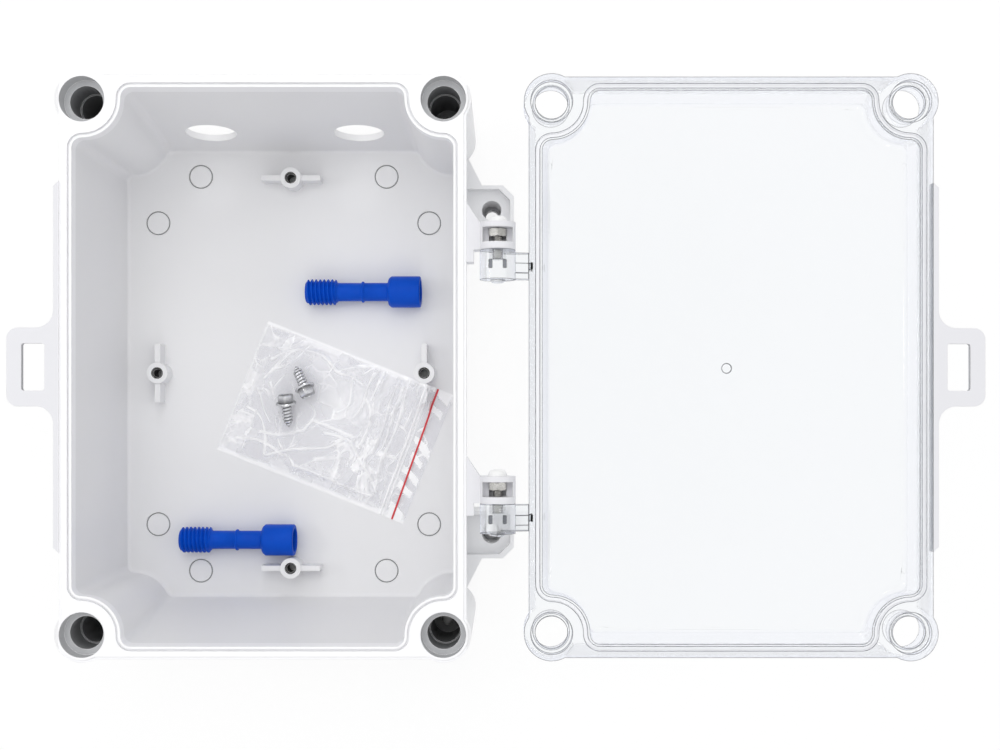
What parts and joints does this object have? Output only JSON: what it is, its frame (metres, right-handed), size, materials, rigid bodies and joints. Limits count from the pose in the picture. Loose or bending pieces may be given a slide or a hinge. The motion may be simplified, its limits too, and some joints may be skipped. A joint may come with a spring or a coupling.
{
  "type": "hinged polycarbonate enclosure",
  "caption": "Deep light-grey moulded wall box with a clear hinged lid, corner lid screws, padlock tabs and wall-fixing feet; lid swings from fully open to closed.",
  "frame": {"origin": "centre of the flat back face of the base, on the wall or table that it lies on", "axes": "+Z out of the open box, +X across from the latch side to the hinge side and the open lid, +Y along the hinge line towards the end wall with the two cable entries"},
  "size_m": [0.47, 0.2832, 0.1091],
  "materials": {
    "grey_polycarbonate": "fine satin moulded",
    "white_nylon": "satin",
    "clear_polycarbonate": "polished, clear",
    "clear_silicone": "smooth",
    "blue_nylon": "satin moulded",
    "clear_film": "crinkled film",
    "stainless": "bright",
    "zinc_steel": "bright zinc plated"
  },
  "bodies": {
    "base": {"base_shell": "grey_polycarbonate", "base_hasp_rail": "grey_polycarbonate", "hinge_bracket_upper": "grey_polycarbonate", "hinge_bracket_lower": "grey_polycarbonate", "hinge_pin_upper": "stainless", "hinge_pin_lower": "stainless", "hinge_nut_upper": "stainless", "hinge_nut_lower": "stainless", "hinge_cap_upper": "white_nylon", "hinge_cap_lower": "white_nylon"},
    "lid": {"lid_cover": "clear_polycarbonate", "lid_gasket": "clear_silicone", "lid_hasp_rail": "grey_polycarbonate", "lid_hinge_leaf_upper": "clear_polycarbonate", "lid_hinge_leaf_lower": "clear_polycarbonate"},
    "loose_screw_1": {"lid_screw_1": "blue_nylon"},
    "loose_screw_2": {"lid_screw_2": "blue_nylon"},
    "hardware_kit": {"hardware_bag": "clear_film", "panel_screw_1": "zinc_steel", "panel_screw_2": "zinc_steel"}
  },
  "joints": [
    {"name": "lid_hinge", "type": "hinge", "parent": "base", "child": "lid", "pos_m": [0.1125, 0, 0.1005], "axis": [0, -1, 0], "range_deg": [0, 180]},
    {"name": "screw_1_lift", "type": "slide", "parent": "base", "child": "loose_screw_1", "axis": [0, 0, 1], "range_m": [0, 0.125]},
    {"name": "screw_2_lift", "type": "slide", "parent": "base", "child": "loose_screw_2", "axis": [0, 0, 1], "range_m": [0, 0.125]},
    {"name": "kit_lift", "type": "slide", "parent": "base", "child": "hardware_kit", "axis": [0, 0, 1], "range_m": [0, 0.125]}
  ]
}
